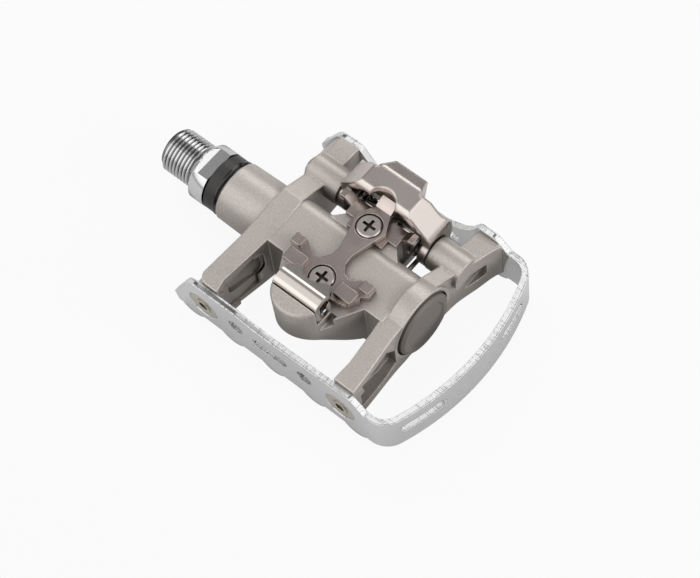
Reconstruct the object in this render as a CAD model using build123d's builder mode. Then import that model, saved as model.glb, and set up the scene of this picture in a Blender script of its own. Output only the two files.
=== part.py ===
from build123d import *
import os

# A left-hand bicycle pedal: a spring-loaded cleat holder on its upper side and a flat steel cage
# for ordinary shoes all round. Millimetres. X points forward, Y points outboard along the spindle,
# Z points up to the cleat side. The origin is on the spindle's axis at its crank seat, where the
# thread ends and the collar begins.

# Spindle
thread_radius = 7.14            # 9/16 inch by 20 threads per inch, left hand on this side
thread_length = 12.6
thread_chamfer = 1.1
collar_radius = 9.1
collar_length = 6.0
collar_chamfer = 0.8
flats_across = 15.0
flats_start = 2.2
centre_hole_radius = 1.6
journal_radius = 5.6
shaft_radius = 4.3
tip_radius = 3.0
shoulder_slope = 1.3

# Lock bolt, seal and bearings
running_gap = 0.05
flange_start = 6.2
flange_length = 3.9
flange_radius = 9.0
seal_length = 1.9
seal_radius = 9.15
lock_thread_radius = 8.0
lock_thread_length = 11.0
sleeve_radius = 7.4
sleeve_length = 45.0
ball_radius = 1.19
ball_count = 12
ball_gap = 0.03
cup_depth = 2.8
cone_length = 5.0
nut_across = 10.0
nut_length = 3.4

# Barrel and deck of the body
tube_radius = 9.5
tube_flare = 0.3
fit_gap = 0.05
centre_y = 54.8                 # the cleat's centre line
deck_top = 9.6
deck_front = 10.0
deck_rear = -9.0
deck_bottom = -11.4
deck_half_width = 21.4
deck_corner = 5.0
pedestal_rear = -15.0
ledge_rear = -21.5
ledge_top = -6.4
ledge_bottom = -9.4

# Arms
arm_top = 9.2
arm_crest = 10.0
arm_width = 6.8
arm_bottom = -11.6
arm_tip_bottom = -7.6
arm_slant = 7.6
post_depth = 7.2
post_top = 5.7
post_bottom = -9.4
pocket_depth = 3.0
pocket_step = 0.8
pocket_corner = 2.2
pocket_lean = 12

# Outboard boss and its cap
boss_radius = 11.9
boss_face = 81.8
recess_radius = 10.9
recess_depth = 1.8
cap_radius = 10.2
cap_face = 83.2
spigot_length = 2.0

# Nose
nose_reach = 27.2
nose_radius = 8.8
nose_half_width = 15.0
bumper_top = 17.2
claw_front_gap = 0.25

# Rear claw, its pin and springs
pivot_x = -19.0
pivot_z = 2.5
pivot_boss_radius = 5.4
pivot_boss_rise = 0.6
pin_radius = 2.5
pin_head_radius = 3.6
pin_head_length = 1.8
claw_half_width = 16.4
claw_top = 18.6
claw_wall = 2.4
claw_side_wall = 2.8
flat_half_width = 8.8
shoulder_height = 8.0
shoulder_round = 3.0
crease_round = 1.2
front_bevel = 1.3
leg_radius = 5.2
side_gap = 0.4
notch_radius = 4.6
notch_x = -15.4
claw_front = -16.6
claw_back = -26.8
shoulder_back = -24.9
head_seat = 0.5
spring_wire_radius = 0.75
spring_radius = 4.2
spring_pitch = 1.65
spring_turns = 2.25
spring_gap = 0.3
anchor_depth = 1.2
tension_z = 8.0
tension_radius = 1.8
tension_head_radius = 3.0
tension_head_length = 2.6
tension_length = 9.0
tension_nut_length = 2.4

# Cage
cage_thickness = 2.0
cage_front = 33.3
cage_rear = -32.4
cage_overhang = 47.5            # from the cleat's centre line to the free end
cage_front_drop = 7.4
cage_rear_drop = 6.6
cage_corner = 7.5
cage_base = -11.2
tooth_radius = 5.0
tooth_height = 2.1
tooth_pitch = 15.4
cage_shift = 1.4                # the cage's pattern is centred this far inboard of the cleat
bolt_half_pitch = 25.7
lobe_top = 7.6
lobe_corner = 5.0
rail_top = 6.6
wrap_top = 3.0
rear_lobe_top = 5.4
rear_boss_top = 7.2
rear_dip = -5.7
bolt_z = -3.1
bolt_head_radius = 5.4
bolt_radius = 2.5
bolt_length = 8.0
hex_across = 3.0
rail_hole_radius = 2.6
rear_hole_half_pitch = 14.6
rear_hole_z = -9.1
slot_length = 12.8
slot_width = 4.0
front_slot_x = 20.5
front_slot_length = 15.0
rear_slot_x = -17.2

# Cleat seat
plate_thickness = 2.3
cover_thickness = 1.2
screw_front_x = 10.4
screw_rear_x = -10.2
screw_head_radius = 3.7
screw_head_length = 1.5
screw_radius = 2.1
screw_length = 8.0
screw_gap = 0.35
claw_sheet = 1.8
front_claw_half_width = 7.9
front_claw_top = 19.2
front_claw_x = 21.75
claw_pin_radius = 1.3
knuckle_half_width = 2.4
lip_x = 12.6
lip_z = 15.4

# Places worked out from the sizes
plate_top = deck_top + plate_thickness
cage_reach = centre_y + cage_overhang
cage_centre_y = centre_y - cage_shift
inboard_y = centre_y - deck_half_width
outboard_y = centre_y + deck_half_width
arm_front = cage_front - cage_thickness
post_rear = cage_rear + cage_thickness
flange_end = flange_start + flange_length
seal_end = flange_end + seal_length
sleeve_start = seal_end + lock_thread_length
sleeve_end = sleeve_start + sleeve_length
ball_track = shaft_radius + ball_radius + ball_gap
cup_radius = ball_track + ball_radius + ball_gap
sleeve_bore = cup_radius - 0.6
inner_ball_y = sleeve_start + cup_depth / 2
outer_ball_y = sleeve_end - cup_depth / 2
cone_start = outer_ball_y - ball_radius
nut_start = cone_start + cone_length
spindle_end = nut_start + nut_length + 1.4
bolt_rows = (cage_centre_y - bolt_half_pitch, cage_centre_y + bolt_half_pitch)
tongue_x = screw_rear_x - 6.0
curl_radius = claw_pin_radius + fit_gap + claw_sheet / 2
front_middle = front_claw_x - claw_sheet / 2
claw_pin_x = front_middle - curl_radius
claw_pin_z = deck_top + fit_gap + claw_sheet / 2 + curl_radius
head_seat_y = inboard_y - arm_width - pivot_boss_rise
leg_y = claw_half_width - claw_side_wall - spring_gap - spring_wire_radius
coil_end_y = leg_y - spring_turns * spring_pitch
pedestal_half_width = coil_end_y - spring_wire_radius - 2 * side_gap
nut_wing_reach = coil_end_y + 2 * spring_wire_radius
bumper_back = front_claw_x + claw_front_gap
pin_end = outboard_y + arm_width - 1.0


def side_plane(y):
    """An upright plane across the spindle at this y, with x to the right and z up."""
    return Plane.XZ.offset(-y)


def mirrored(points):
    """The same half outline on both sides of the cleat's centre line, as one closed loop of points."""
    left = [(x, centre_y - y) for x, y in reversed(points)]
    right = [(x, centre_y + y) for x, y in points]
    return right + left


# Spindle: one turned bar with the crank thread, a collar with two wrench flats and a stepped shaft
with BuildPart() as spindle:
    with BuildSketch(Plane.XY):
        with BuildLine():
            Polyline(
                (0, -thread_length),
                (thread_radius - thread_chamfer, -thread_length),
                (thread_radius, -thread_length + thread_chamfer),
                (thread_radius, 0),
                (collar_radius - collar_chamfer, 0),
                (collar_radius, collar_chamfer),
                (collar_radius, collar_length),
                (journal_radius, collar_length),
                (journal_radius, sleeve_start - shoulder_slope),
                (shaft_radius, sleeve_start),
                (shaft_radius, cone_start - 2 * shoulder_slope),
                (tip_radius, cone_start - shoulder_slope),
                (tip_radius, spindle_end - shoulder_slope / 2),
                (tip_radius - shoulder_slope / 2, spindle_end),
                (0, spindle_end),
                close=True,
            )
        make_face()
    revolve(axis=Axis.Y)
    half_flat = flats_across / 2
    flat_rise = collar_radius - half_flat + 0.4
    with BuildSketch(Plane.YZ.offset(-collar_radius)):
        for side in (1, -1):
            with BuildLine():
                Polyline(
                    (flats_start, side * half_flat),
                    (collar_length + 0.1, side * half_flat),
                    (collar_length + 0.1, side * (half_flat + flat_rise)),
                    (flats_start - flat_rise, side * (half_flat + flat_rise)),
                    close=True,
                )
            make_face()
    extrude(amount=2 * collar_radius, mode=Mode.SUBTRACT)
    with Locations(Plane.XZ.offset(thread_length)):
        Hole(radius=centre_hole_radius, depth=2 * centre_hole_radius)
spindle.part.label = "spindle"

# Lock bolt: black resin collar screwed into the tube, which holds the bearing sleeve in place
with BuildPart() as lock_bolt:
    bolt_bore = journal_radius + running_gap
    with BuildSketch(Plane.XY):
        with BuildLine():
            Polyline(
                (bolt_bore, flange_start),
                (flange_radius - 0.5, flange_start),
                (flange_radius, flange_start + 0.5),
                (flange_radius, flange_end),
                (lock_thread_radius, flange_end),
                (lock_thread_radius, sleeve_start - shoulder_slope),
                (bolt_bore, sleeve_start - shoulder_slope),
                close=True,
            )
        make_face()
    revolve(axis=Axis.Y)
lock_bolt.part.label = "lock_bolt"

# Seal: soft ring squeezed between the lock bolt's flange and the mouth of the tube
with BuildPart() as mouth_seal:
    seal_bore = lock_thread_radius + fit_gap
    groove = seal_length / 4
    with BuildSketch(Plane.XY):
        with BuildLine():
            Polyline(
                (seal_bore, flange_end),
                (seal_radius, flange_end),
                (seal_radius, flange_end + groove),
                (seal_radius - groove, flange_end + 2 * groove),
                (seal_radius, flange_end + 3 * groove),
                (seal_radius, seal_end),
                (seal_bore, seal_end),
                close=True,
            )
        make_face()
    revolve(axis=Axis.Y)
mouth_seal.part.label = "mouth_seal"

# Bearing sleeve: ground tube with a cup for the balls at either end
with BuildPart() as bearing_sleeve:
    cup_slope = cup_radius - sleeve_bore
    with BuildSketch(Plane.XY):
        with BuildLine():
            Polyline(
                (sleeve_bore, sleeve_start + cup_depth + cup_slope),
                (cup_radius, sleeve_start + cup_depth),
                (cup_radius, sleeve_start),
                (sleeve_radius, sleeve_start),
                (sleeve_radius, sleeve_end),
                (cup_radius, sleeve_end),
                (cup_radius, sleeve_end - cup_depth),
                (sleeve_bore, sleeve_end - cup_depth - cup_slope),
                close=True,
            )
        make_face()
    revolve(axis=Axis.Y)
bearing_sleeve.part.label = "bearing_sleeve"

# Two rows of loose balls between the shaft and the cups, each turned from an octagon
with BuildPart() as ball:
    with BuildSketch(Plane.XZ):
        RegularPolygon(ball_radius, 8, rotation=22.5)
        with Locations((-ball_radius, 0)):
            Rectangle(2 * ball_radius, 2 * ball_radius, mode=Mode.SUBTRACT)
    revolve(axis=Axis.Z)

with BuildPart() as inner_balls:
    with Locations(side_plane(inner_ball_y)):
        with PolarLocations(ball_track, ball_count):
            add(ball.part)
inner_balls.part.label = "inner_balls"

with BuildPart() as outer_balls:
    with Locations(side_plane(outer_ball_y)):
        with PolarLocations(ball_track, ball_count):
            add(ball.part)
outer_balls.part.label = "outer_balls"

# Adjusting cone and its lock nut on the thin end of the spindle
with BuildPart() as bearing_cone:
    with BuildSketch(Plane.XY):
        with BuildLine():
            Polyline(
                (tip_radius, cone_start),
                (shaft_radius, cone_start),
                (shaft_radius, nut_start - 2 * running_gap - 1.4),
                (shaft_radius + 0.5, nut_start - 1.2),
                (shaft_radius + 0.5, nut_start),
                (tip_radius, nut_start),
                close=True,
            )
        make_face()
    revolve(axis=Axis.Y)
bearing_cone.part.label = "bearing_cone"

with BuildPart() as cone_nut:
    with BuildSketch(side_plane(nut_start + nut_length)):
        RegularPolygon(nut_across / 2, 6, major_radius=False)
        Circle(tip_radius, mode=Mode.SUBTRACT)
    extrude(amount=nut_length)
cone_nut.part.label = "cone_nut"

# Body, first the side profile that both arms share: a crest behind the middle, lower rear posts
with BuildPart() as arm_profile:
    with BuildSketch(side_plane(cage_reach)):
        with BuildLine():
            Polyline(
                (arm_front, arm_top),
                (deck_front, deck_top),
                (-5.5, arm_crest),
                (-14.8, post_top + 0.3),
                (post_rear, post_top),
                (post_rear, post_bottom),
                (-12, arm_bottom),
                (8, arm_bottom),
                (24, arm_tip_bottom - 1.2),
                (arm_front, arm_tip_bottom),
                close=True,
            )
        make_face()
    extrude(amount=cage_reach)

# Inboard arm: waisted in front, with posts round the bolts that lean out below to fill the cage's ends
with BuildPart() as inboard_arm:
    arm_inner_y = inboard_y - arm_width
    with BuildSketch(Plane.XY.offset(arm_bottom)):
        with BuildLine():
            Polyline(
                (arm_front, arm_inner_y - 0.7),
                (arm_front, inboard_y - 0.1),
                (27, inboard_y - 1.0),
                (22, inboard_y - 0.5),
                (16, inboard_y),
                (deck_front, inboard_y + 0.4),
                (deck_front - 1, inboard_y + 0.9),
                (-12, inboard_y),
                (post_rear, inboard_y),
                (post_rear, arm_inner_y),
                (0, arm_inner_y),
                (12.7, arm_inner_y + 0.3),
                close=True,
            )
        plan = make_face()
        fillet(plan.vertices().sort_by(Axis.Y)[0], radius=3.0)
    extrude(amount=arm_crest - arm_bottom)
    for post_start in (arm_front - post_depth, post_rear):
        with BuildSketch(Plane.YZ.offset(post_start)):
            with BuildLine():
                Polyline(
                    (arm_inner_y, post_top),
                    (inboard_y, post_top),
                    (inboard_y, arm_bottom),
                    (arm_inner_y - arm_slant + 3.0, arm_bottom),
                    (arm_inner_y - arm_slant, arm_bottom + 3.6),
                    (arm_inner_y - 3.0, post_top - 4.5),
                    close=True,
                )
            make_face()
        extrude(amount=post_depth)
    add(arm_profile.part, mode=Mode.INTERSECT)

# Outboard arm: bowed outline, pinched beside the boss and splayed at the rear
with BuildPart() as outboard_arm:
    with BuildSketch(Plane.XY.offset(arm_bottom)):
        with BuildLine():
            front_end = cage_reach - cage_front_drop - cage_corner - 4.0
            rear_end = cage_reach - cage_rear_drop - cage_corner - 1.8
            Polyline(
                (arm_front, front_end),
                (arm_front, outboard_y + 0.5),
                (arm_front - 6.3, outboard_y + 0.7),
                (14, outboard_y - 0.4),
                (deck_front, outboard_y - 1.0),
                (deck_front - 1, outboard_y - 1.7),
                (-2, outboard_y - 1.1),
                (-12, outboard_y),
                (post_rear + 6.4, outboard_y + 0.9),
                (post_rear, outboard_y + 2.0),
                (post_rear, rear_end),
            )
            Spline(
                (post_rear, rear_end),
                (post_rear + 3.4, rear_end - 1.5),
                (post_rear + 7.9, rear_end - 2.7),
                (-15, rear_end - 4.9),
                (-2, front_end - 2.2),
                (12, front_end - 1.7),
                (arm_front - 6.3, front_end - 0.2),
                (arm_front, front_end + 0.3),
            )
            Line((arm_front, front_end + 0.3), (arm_front, front_end))
        make_face()
    extrude(amount=arm_top - arm_bottom)
    add(arm_profile.part, mode=Mode.INTERSECT)

# Nose: pointed prow under the front claw, thin at its tip, with a raised bumper before the claw
with BuildPart() as nose:
    with BuildSketch(Plane.XY.offset(deck_bottom)):
        with Locations((nose_reach - nose_radius, centre_y)):
            Circle(nose_radius)
        with Locations((deck_front - 1, centre_y)):
            Rectangle(2, 2 * nose_half_width)
        make_hull()
    extrude(amount=bumper_top - deck_bottom)
    with BuildSketch(side_plane(centre_y + nose_half_width + 1)):
        with BuildLine():
            underside = Spline(
                (deck_front - 2, -8.4),
                (14.5, -5.6),
                (21.5, 0.6),
                (25.5, 3.4),
                (nose_reach + 1, 4.6),
            )
            Polyline(
                underside @ 1,
                (nose_reach + 1, bumper_top),
                (bumper_back, bumper_top),
                (bumper_back, deck_top),
                (deck_front - 2, deck_top),
                underside @ 0,
            )
        make_face()
    extrude(amount=2 * nose_half_width + 2, mode=Mode.INTERSECT)
    fillet(nose.edges().group_by(Axis.Z)[-1].filter_by(GeomType.CIRCLE), radius=1.2)

# Pedestal under the rear end of the plates, spreading into the deck, with a ledge below the springs
with BuildPart() as pedestal:
    with BuildSketch(Plane.XY.offset(ledge_bottom)):
        with BuildLine():
            Polyline(*mirrored((
                (pedestal_rear, pedestal_half_width),
                (deck_rear - 4.6, pedestal_half_width),
                (deck_rear - 2.0, pedestal_half_width + 1.8),
                (deck_rear, pedestal_half_width + 3.6),
                (deck_rear + 2.0, pedestal_half_width + 5.6),
            )), close=True)
        make_face()
    extrude(amount=deck_top - cover_thickness - ledge_bottom)
    with BuildSketch(Plane.XY.offset(ledge_bottom)):
        with Locations(((ledge_rear + deck_rear) / 2, centre_y)):
            Rectangle(deck_rear - ledge_rear, 2 * pedestal_half_width + 2.0)
    extrude(amount=ledge_top - ledge_bottom)
    fillet(pedestal.edges().group_by(Axis.X)[0].group_by(Axis.Z)[-1], radius=2.0)

# Body: barrel, deck, arms, nose, pivot bosses and the pedestal under the rear end of the plate
with BuildPart() as body:
    with BuildSketch(Plane.XY):
        with BuildLine():
            Polyline(
                (0, seal_end),
                (tube_radius, seal_end),
                (tube_radius + tube_flare, inboard_y - arm_width),
                (tube_radius, inboard_y),
                (tube_radius, outboard_y),
                (boss_radius, outboard_y),
                (boss_radius, boss_face),
                (0, boss_face),
                close=True,
            )
        make_face()
    revolve(axis=Axis.Y)
    with BuildSketch(side_plane(outboard_y)):
        with BuildLine():
            Polyline(
                (deck_front, deck_top),
                (deck_rear, deck_top),
                (deck_rear, deck_bottom),
                (deck_front, deck_bottom),
                close=True,
            )
        deck_face = make_face()
        fillet(deck_face.vertices().group_by(Axis.X)[0], radius=deck_corner)
        fillet(deck_face.vertices().group_by(Axis.Y)[0].sort_by(Axis.X)[-1], radius=deck_corner)
    extrude(amount=2 * deck_half_width)
    add(inboard_arm.part)
    add(outboard_arm.part)
    add(nose.part)
    for y_near, y_far in (
        (head_seat_y, centre_y - claw_half_width - side_gap),
        (centre_y + claw_half_width + side_gap, outboard_y + arm_width),
    ):
        with BuildSketch(side_plane(y_far)):
            with Locations((pivot_x, pivot_z)):
                Circle(pivot_boss_radius)
        extrude(amount=y_far - y_near)
    add(pedestal.part)

    # Bore for the bearing unit, and the outboard recess round the cap
    with Locations(side_plane(seal_end)):
        Cylinder(lock_thread_radius + fit_gap, lock_thread_length, align=(Align.CENTER, Align.CENTER, Align.MAX),
                 mode=Mode.SUBTRACT)
        Cylinder(sleeve_radius + fit_gap, boss_face - seal_end, align=(Align.CENTER, Align.CENTER, Align.MAX),
                 mode=Mode.SUBTRACT)
    with Locations(side_plane(boss_face - recess_depth)):
        Cylinder(recess_radius, recess_depth + arm_width, align=(Align.CENTER, Align.CENTER, Align.MAX),
                 mode=Mode.SUBTRACT)

    # Pin hole through both pairs of bosses, blind at the outboard end
    with Locations(side_plane(pin_end)):
        with Locations((pivot_x, pivot_z)):
            Cylinder(pin_radius + fit_gap, pin_end, align=(Align.CENTER, Align.CENTER, Align.MIN),
                     mode=Mode.SUBTRACT)
    with Locations(side_plane(head_seat_y)):
        with Locations((pivot_x, pivot_z)):
            Cylinder(pin_head_radius + side_gap, arm_slant, align=(Align.CENTER, Align.CENTER, Align.MIN),
                     mode=Mode.SUBTRACT)

    # Casting pockets in the arms: a shallow and a deep one in the inboard arm, the deep one with a floor
    # that leans, and a front and a rear one in the outboard arm
    with BuildSketch(side_plane(inboard_y)):
        with BuildLine():
            Polyline((11, -8.6), (11, 7.0), (29.6, 6.4), (29.6, -5.6), close=True)
        pocket_face = make_face()
        fillet(pocket_face.vertices(), radius=pocket_corner)
    extrude(amount=pocket_step, mode=Mode.SUBTRACT)
    with BuildSketch(Plane(origin=(0, inboard_y - pocket_depth, post_top), x_dir=(1, 0, 0),
                           z_dir=(0, 1, 0)).rotated((pocket_lean, 0, 0))):
        with BuildLine():
            Polyline((12.5, 0.8), (26.6, 0.8), (26.6, 5.8), (12.5, 10.2), close=True)
        pocket_face = make_face()
        fillet(pocket_face.vertices(), radius=pocket_corner)
    extrude(amount=2 * pocket_depth, mode=Mode.SUBTRACT)
    with BuildSketch(side_plane(outboard_y + 2.6)):
        with BuildLine():
            Polyline((11.8, -6.2), (boss_radius, 1.6), (15.5, 6.2), (28.6, 6.2), (28.6, -4.6), (17, -6.9),
                     close=True)
        make_face()
    extrude(amount=-2 * arm_width, mode=Mode.SUBTRACT)
    with BuildSketch(side_plane(bolt_rows[1] + bolt_radius + side_gap)):
        with BuildLine():
            Polyline((-25.6, 0.3), (-12.5, 0.3), (-12.5, -6.0), (-25.6, -5.4), close=True)
        make_face()
    extrude(amount=-2 * arm_width, mode=Mode.SUBTRACT)

    # Knuckle in the middle of the front claw, with the hole for the claw's pin
    with BuildSketch(side_plane(centre_y + knuckle_half_width)):
        with BuildLine():
            Polyline(
                (claw_pin_x - claw_pin_radius - 0.9, deck_top - 1),
                (claw_pin_x - claw_pin_radius - 0.9, claw_pin_z),
                (claw_pin_x - claw_pin_radius, claw_pin_z + claw_pin_radius + 0.8),
                (claw_pin_x + claw_pin_radius, claw_pin_z + claw_pin_radius + 0.8),
                (claw_pin_x + claw_pin_radius + 0.9, claw_pin_z),
                (claw_pin_x + claw_pin_radius + 0.9, deck_top - 1),
                close=True,
            )
        make_face()
        with Locations((claw_pin_x, claw_pin_z)):
            Circle(claw_pin_radius + fit_gap, mode=Mode.SUBTRACT)
    extrude(amount=2 * knuckle_half_width)

    # Blind holes in the rear of the deck, where the springs' lower legs are anchored
    for side in (1, -1):
        with Locations(Plane(origin=(deck_rear, centre_y + side * leg_y, pivot_z - spring_radius),
                             x_dir=(0, 1, 0), z_dir=(-1, 0, 0))):
            Hole(radius=spring_wire_radius + fit_gap, depth=anchor_depth)

    # Slot in the nose floor beside the outboard end of the front claw
    with BuildSketch(Plane.XY.offset(6.4)):
        with Locations((19.6, centre_y + front_claw_half_width + 1.3)):
            Rectangle(6.6, 2.2)
    extrude(amount=bumper_top, mode=Mode.SUBTRACT)

    # Holes for the four cage bolts, and for the two screws of the cleat plate
    for rail_x, outward in ((cage_front, 1), (cage_rear, -1)):
        for y in bolt_rows:
            with Locations(Plane(origin=(rail_x, y, bolt_z), x_dir=(0, 1, 0), z_dir=(outward, 0, 0))):
                CounterSinkHole(radius=bolt_radius + fit_gap, counter_sink_radius=bolt_head_radius + fit_gap,
                                depth=bolt_length + 1, counter_sink_angle=90)
    for x in (screw_front_x, screw_rear_x):
        with Locations((x, centre_y, deck_top)):
            Hole(radius=screw_radius + fit_gap, depth=screw_length)
body.part.label = "body"

# End cap: plastic cover of the outboard bearing, with a spigot in the bore and a raised rim
with BuildPart() as end_cap:
    recess_floor = boss_face - recess_depth
    with BuildSketch(Plane.XY):
        with BuildLine():
            Polyline(
                (0, recess_floor - spigot_length),
                (sleeve_radius - fit_gap, recess_floor - spigot_length),
                (sleeve_radius - fit_gap, recess_floor),
                (cap_radius, recess_floor),
                (cap_radius, cap_face - 0.8),
                (cap_radius - 0.8, cap_face),
                (cap_radius - 2.2, cap_face),
                (cap_radius - 2.8, cap_face - 0.5),
                (0, cap_face - 0.5),
                close=True,
            )
        make_face()
    revolve(axis=Axis.Y)
end_cap.part.label = "end_cap"

# Cage, first its two rail profiles and the height of the bent end: wavy above, blunt teeth below.
# The numbers are y from the middle of the cage's pattern, and z.
with BuildPart() as cage_profile:
    wrap_start = cage_centre_y + 2 * tooth_pitch + tooth_radius - 0.8
    for start, wave_round, foot, points in (
        (0, 2.0, -36.4, ((-29.8, lobe_top), (-12.2, lobe_top), (-8.4, rail_top), (0.6, 6.3), (12.6, 6.8),
                         (30.1, 7.5))),
        (-2 * cage_front, 3.0, -34.6, ((-28.0, rear_lobe_top), (-20.4, rear_lobe_top), (-15.9, -0.5),
                                       (-11.9, rear_dip + 1.4), (-6.4, rear_dip), (7.1, rear_dip),
                                       (13.0, -3.6), (18.0, -1.0), (21.0, 1.8),
                                       (24.2, rear_boss_top), (30.2, rear_boss_top))),
    ):
        with BuildSketch(Plane.YZ.offset(start)):
            with BuildLine():
                top_edge = FilletPolyline(*[(cage_centre_y + y, z) for y, z in points],
                                          (wrap_start, wrap_top), radius=wave_round)
                Polyline(
                    top_edge @ 1,
                    (wrap_start, cage_base),
                    (cage_centre_y + foot, cage_base),
                    (cage_centre_y + foot - 1.0, cage_base + 4.2),
                    top_edge @ 0,
                )
            rail_face = make_face()
            fillet(rail_face.vertices().sort_by(Axis.X)[2], radius=lobe_corner)
            with Locations([(cage_centre_y + n * tooth_pitch, cage_base - tooth_height + tooth_radius)
                            for n in (-2, -1, 0, 1, 2)]):
                Circle(tooth_radius)
        extrude(amount=2 * cage_front)
    with BuildSketch(side_plane(cage_reach)):
        with Locations((0, (wrap_top + cage_base) / 2)):
            Rectangle(3 * cage_front, wrap_top - cage_base)
    extrude(amount=cage_reach - wrap_start)

# Cage: one strip bent into a U, open at the crank end
with BuildPart() as cage:
    with BuildSketch(Plane.XY.offset(cage_base - 2 * tooth_height)):
        with BuildLine():
            Polyline(
                (cage_rear, cage_reach - cage_rear_drop),
                (cage_rear, 0),
                (cage_front, 0),
                (cage_front, cage_reach - cage_front_drop),
            )
            ThreePointArc(
                (cage_front, cage_reach - cage_front_drop),
                (0, cage_reach),
                (cage_rear, cage_reach - cage_rear_drop),
            )
        outline = make_face()
        fillet(outline.vertices().group_by(Axis.Y)[-1] + outline.vertices().group_by(Axis.Y)[-2],
               radius=cage_corner)
        offset(amount=-cage_thickness, mode=Mode.SUBTRACT)
    extrude(amount=lobe_top - cage_base + 4 * tooth_height)
    add(cage_profile.part, mode=Mode.INTERSECT)

    # Bolt holes dished for flush heads, lightening holes in both rails and slots in the bent end
    for rail_x, outward in ((cage_front, 1), (cage_rear, -1)):
        for y in bolt_rows:
            with Locations(Plane(origin=(rail_x, y, bolt_z), x_dir=(0, 1, 0), z_dir=(outward, 0, 0))):
                CounterSinkHole(radius=bolt_radius + fit_gap, counter_sink_radius=bolt_head_radius + fit_gap,
                                depth=bolt_length + 1, counter_sink_angle=90)
    with BuildSketch(Plane.YZ):
        for side in (1, -1):
            with Locations((cage_centre_y + side * bolt_half_pitch / 2, -1.0)):
                Circle(rail_hole_radius)
        with Locations((cage_centre_y, -1.3)):
            SlotOverall(slot_length, slot_width)
    extrude(amount=2 * cage_front, mode=Mode.SUBTRACT)
    with BuildSketch(Plane.YZ):
        for side in (1, -1):
            with Locations((cage_centre_y + side * rear_hole_half_pitch, rear_hole_z)):
                Circle(rail_hole_radius)
    extrude(amount=-2 * cage_front, mode=Mode.SUBTRACT)
    with BuildSketch(side_plane(cage_reach)):
        with Locations((front_slot_x, bolt_z)):
            SlotOverall(front_slot_length, slot_width)
        with Locations((rear_slot_x, bolt_z)):
            SlotOverall(slot_length, slot_width)
    extrude(amount=cage_reach - wrap_start, mode=Mode.SUBTRACT)
cage.part.label = "cage"

# Cage bolts: four flush countersunk bolts with hexagon sockets
with BuildPart() as cage_bolts:
    for rail_x, outward in ((cage_front, 1), (cage_rear, -1)):
        for y in bolt_rows:
            with Locations(Plane(origin=(rail_x, y, bolt_z), x_dir=(0, 1, 0), z_dir=(outward, 0, 0))):
                Cylinder(bolt_radius, bolt_length, align=(Align.CENTER, Align.CENTER, Align.MAX))
                with Locations((0, 0, -0.3)):
                    Cone(bolt_radius, bolt_head_radius - 0.3, bolt_head_radius - 0.3 - bolt_radius,
                         align=(Align.CENTER, Align.CENTER, Align.MAX))
            with BuildSketch(Plane(origin=(rail_x, y, bolt_z), x_dir=(0, 1, 0), z_dir=(outward, 0, 0))):
                RegularPolygon(hex_across / 2, 6, major_radius=False)
            extrude(amount=-bolt_head_radius / 2, mode=Mode.SUBTRACT)
cage_bolts.part.label = "cage_bolts"

# Cleat plate: steel plate the cleat slides on, with raised guide pads and a bent-up tongue
with BuildPart() as cleat_plate:
    with BuildSketch(Plane.XY.offset(deck_top)):
        with BuildLine():
            Polyline(*mirrored((
                (tongue_x, 3.0),
                (screw_rear_x - 0.8, 5.4),
                (screw_rear_x + 5.2, 3.6),
                (0, 2.3),
                (screw_front_x - 7.4, 2.5),
                (screw_front_x - 4.8, 4.3),
                (screw_front_x - 4.1, 6.5),
                (screw_front_x - 6.0, 9.3),
                (screw_front_x - 6.7, 10.6),
                (screw_front_x - 6.5, 14.3),
                (screw_front_x - 3.2, 14.6),
                (screw_front_x - 1.9, 12.6),
                (screw_front_x - 0.6, 13.2),
                (screw_front_x + 2.9, 10.8),
                (screw_front_x + 3.8, 7.0),
            )), close=True)
        make_face()
    extrude(amount=plate_thickness)
    for from_screw, aside, length, width, rise in ((-4.85, 12.5, 3.3, 3.4, 1.4), (0.3, 9.2, 4.2, 6.4, 2.0)):
        for side in (1, -1):
            with BuildSketch(Plane.XY.offset(plate_top)):
                with Locations((screw_front_x + from_screw, centre_y + side * aside)):
                    RectangleRounded(length, width, radius=0.6)
            extrude(amount=rise)
    with BuildSketch(side_plane(centre_y + 2.8)):
        with BuildLine():
            Polyline(
                (tongue_x + 0.6, deck_top),
                (tongue_x + 0.6, plate_top),
                (tongue_x - 0.2, plate_top),
                (tongue_x - 3.6, plate_top + 1.9),
                (tongue_x - 4.0, plate_top + 0.7),
                (tongue_x - 0.6, plate_top - 1.3),
                (tongue_x, deck_top),
                close=True,
            )
        make_face()
    extrude(amount=5.6)
    for x in (screw_front_x, screw_rear_x):
        with Locations((x, centre_y, plate_top)):
            CounterBoreHole(radius=screw_radius + fit_gap, counter_bore_radius=screw_head_radius + screw_gap,
                            counter_bore_depth=screw_head_length, depth=plate_thickness)
cleat_plate.part.label = "cleat_plate"

# Cover plate: thin wings between the cleat plate and the body that shield the springs
with BuildPart() as cover_plate:
    with BuildSketch(Plane.XY.offset(deck_top - cover_thickness)):
        with BuildLine():
            Polyline(*mirrored(((-16.3, 9.3), (-10.6, 9.3), (-10.6, 6.4), (-7.6, 6.4))), close=True)
        make_face()
    extrude(amount=cover_thickness)
    for side in (1, -1):
        with BuildSketch(Plane.YZ.offset(-16.3)):
            with BuildLine():
                Polyline(
                    (centre_y + side * 9.1, deck_top),
                    (centre_y + side * 9.1, deck_top - cover_thickness),
                    (centre_y + side * 9.7, deck_top - cover_thickness),
                    (centre_y + side * 12.1, plate_top - cover_thickness),
                    (centre_y + side * 13.3, plate_top - cover_thickness),
                    (centre_y + side * 13.3, plate_top),
                    (centre_y + side * 11.6, plate_top),
                    close=True,
                )
            make_face()
        extrude(amount=3.2)
    with Locations((screw_rear_x, centre_y, deck_top)):
        Hole(radius=screw_radius + fit_gap)
cover_plate.part.label = "cover_plate"

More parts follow.
